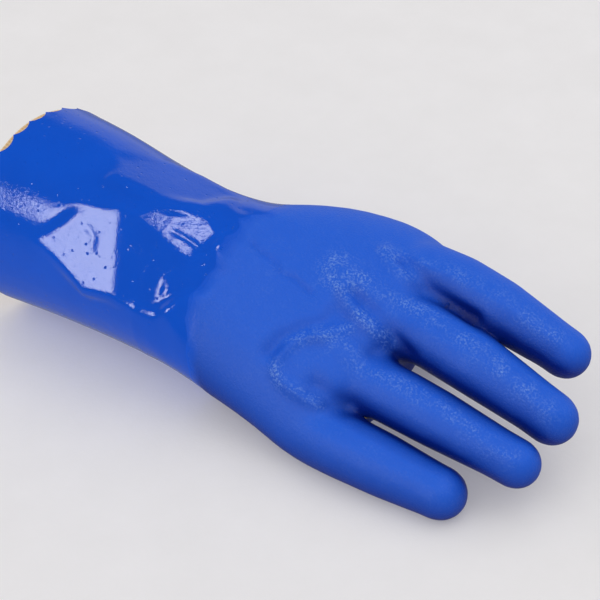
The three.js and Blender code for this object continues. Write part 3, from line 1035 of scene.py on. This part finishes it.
# %% [markdown]
# The two coats are rubber outside and knit inside, which their two slots allow. The lining is
# knit all through.

# %% Give each piece its material
for piece, outside in ((hand, sandy), (cuff, gloss)):
    piece.data.materials[0] = outside
    piece.data.materials[1] = knit
lining.data.materials.append(knit)
print("materials on", hand.name, cuff.name, lining.name)

# %% [markdown]
# ## The floor
# The glove was laid on a pale sheet. The floor is a stage, which isn't part of the glove. It glows
# a little, which is painted light: the glow lightens the shadows on the sheet as a white room
# would, and it doesn't show in the rubber's mirror.

# %% Floor
FLOOR_SIZE = 6
FLOOR_GLOW = 0.24
FLOOR_MOTTLE = 35 * MM
FLOOR_WEAVE = 2.5 * MM
WEAVE_HEIGHT = 0.15 * MM

bpy.ops.object.select_all(action="DESELECT")
bpy.ops.mesh.primitive_plane_add(size=FLOOR_SIZE)
floor = bpy.context.object
floor.name = "floor"
# The emission is painted light on the floor, which lightens its shadows.
sheet, tree, shader = new_material("pale_sheet", {"Roughness": 0.9, "Emission Color": linear("E4E2E4"),
                                                  "Emission Strength": FLOOR_GLOW})
place = add_node(tree, "TexCoord")
mottle = add_node(tree, "TexNoise", [("Vector", place, "Object")],
                  {"Scale": 1 / FLOOR_MOTTLE, "Detail": 5.0, "Roughness": 0.6})
tone = add_node(tree, "Mix", [("Factor", mottle, "Fac")],
                {MIX_FIRST: linear("DAD8D8"), MIX_SECOND: linear("E4E2E3")}, data_type="RGBA")
weave = add_node(tree, "TexNoise", [("Vector", place, "Object")],
                 {"Scale": 1 / FLOOR_WEAVE, "Detail": 3.0, "Roughness": 0.6})
bump = add_node(tree, "Bump", [("Height", weave, "Fac")], {"Strength": 0.5, "Distance": WEAVE_HEIGHT})
tree.links.new(tone.outputs[MIX_RESULT], shader.inputs["Base Color"])
tree.links.new(bump.outputs["Normal"], shader.inputs["Normal"])
floor.data.materials.append(sheet)
floor.visible_glossy = False
print("floor is", FLOOR_SIZE, "m wide")

# %% [markdown]
# ## The lamps
# Two wide soft keys, one in front and one behind, light the rubber and the floor, and don't show
# in its mirror. Two small boxes do the opposite: they give no diffuse light, and each of them is
# what one of the cuff's flats mirrors.

# %% Lamps
LAMP_AIM = Vector((-40, -10, 50)) * MM
lamps = [
    {"name": "front_key", "turn": -15, "rise": 40, "distance": 1.6, "size": (2.0, 1.4), "watts": 3.2,
     "glossy": False},
    {"name": "back_key", "turn": 150, "rise": 62, "distance": 1.6, "size": (1.6, 1.6), "watts": 5,
     "glossy": False},
    {"name": "near_box", "turn": -13, "rise": 26, "distance": 1.2, "size": (0.38, 0.42), "watts": 3.95,
     "diffuse": False},
    {"name": "high_box", "turn": 63, "rise": 63, "distance": 1.2, "size": (0.29, 0.25), "watts": 1.9,
     "diffuse": False},
]


def softbox(name, turn, rise, distance, size, watts, glossy=True, diffuse=True):
    """A lamp that faces the glove from a turn and a rise in degrees, its sizes in metres."""
    data = bpy.data.lights.new(name, "AREA")
    data.shape = "RECTANGLE"
    data.size, data.size_y = size
    data.energy = watts
    lamp = bpy.data.objects.new(name, data)
    way = Vector(way_of(turn, rise))
    lamp.location = LAMP_AIM + way * distance
    lamp.rotation_euler = way.to_track_quat("Z", "Y").to_euler()
    lamp.visible_glossy = glossy
    lamp.visible_diffuse = diffuse
    bpy.context.scene.collection.objects.link(lamp)


for row in lamps:
    softbox(**row)
print("lamps:", ", ".join(row["name"] for row in lamps))

# %% [markdown]
# ## The room
# An even white room lights the glove from all sides. Its mirror is another matter: the deep blue
# of the cuff shows that most of what it mirrors is dark. So mirrored rays see a dark room, with a
# pale wall low behind the glove and a pale ground under the horizon.

# %% Room
ROOM_WHITE = linear("F6F6F6")
ROOM_LIGHT = 0.68
ROOM_DARK = 0.07
WALL_LIGHT = 0.55
WALL_WAY = (-0.5, 0.86, 0)
GROUND_LIGHT = 0.22

world = bpy.data.worlds.new("studio")
bpy.context.scene.world = world
world.use_nodes = True
tree = world.node_tree
tree.nodes.clear()
ray = add_node(tree, "LightPath")
way = add_node(tree, "TexCoord")
axes = add_node(tree, "SeparateXYZ", [("Vector", way, "Generated")])
back = add_node(tree, "VectorMath", [(0, way, "Generated")], {1: WALL_WAY}, operation="DOT_PRODUCT")
behind = add_node(tree, "MapRange", [("Value", back, "Value")], {"From Min": 0.1, "From Max": 0.4},
                  interpolation_type="SMOOTHSTEP")
low = add_node(tree, "MapRange", [("Value", axes, "Z")], {"From Min": 0.62, "From Max": 0.35},
               interpolation_type="SMOOTHSTEP")
above = add_node(tree, "MapRange", [("Value", axes, "Z")], {"From Min": -0.25, "From Max": 0.0},
                 interpolation_type="SMOOTHSTEP")
wall = add_node(tree, "Math", [(0, behind, "Result"), (1, low, "Result")], operation="MULTIPLY")
wall = add_node(tree, "Math", [(0, wall, "Value"), (1, above, "Result")], operation="MULTIPLY")
wall = add_node(tree, "Math", [(0, wall, "Value")], {1: WALL_LIGHT, 2: ROOM_DARK}, operation="MULTIPLY_ADD")
ground = add_node(tree, "MapRange", [("Value", axes, "Z")],
                  {"From Min": 0.05, "From Max": -0.35, "To Max": GROUND_LIGHT},
                  interpolation_type="SMOOTHSTEP")
dim = add_node(tree, "Math", [(0, wall, "Value"), (1, ground, "Result")], operation="ADD")
lit = add_node(tree, "Background", values={"Color": ROOM_WHITE, "Strength": ROOM_LIGHT})
mirrored = add_node(tree, "Background", [("Strength", dim, "Value")], {"Color": ROOM_WHITE})
room = add_node(tree, "MixShader", [(0, ray, "Is Glossy Ray"), (1, lit, "Background"),
                                    (2, mirrored, "Background")])
add_node(tree, "OutputWorld", [("Surface", room, "Shader")])
bpy.context.scene.view_settings.view_transform = "Standard"
print("the room has", len(tree.nodes), "nodes")

# %% [markdown]
# ## The end
# Each piece takes the place of its node and rides on the one body.

# %% Hand over the pieces
for piece, node in ((hand, "hand_coat"), (cuff, "cuff_coat"), (lining, "knit_lining")):
    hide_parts(node)
    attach(piece, "root")
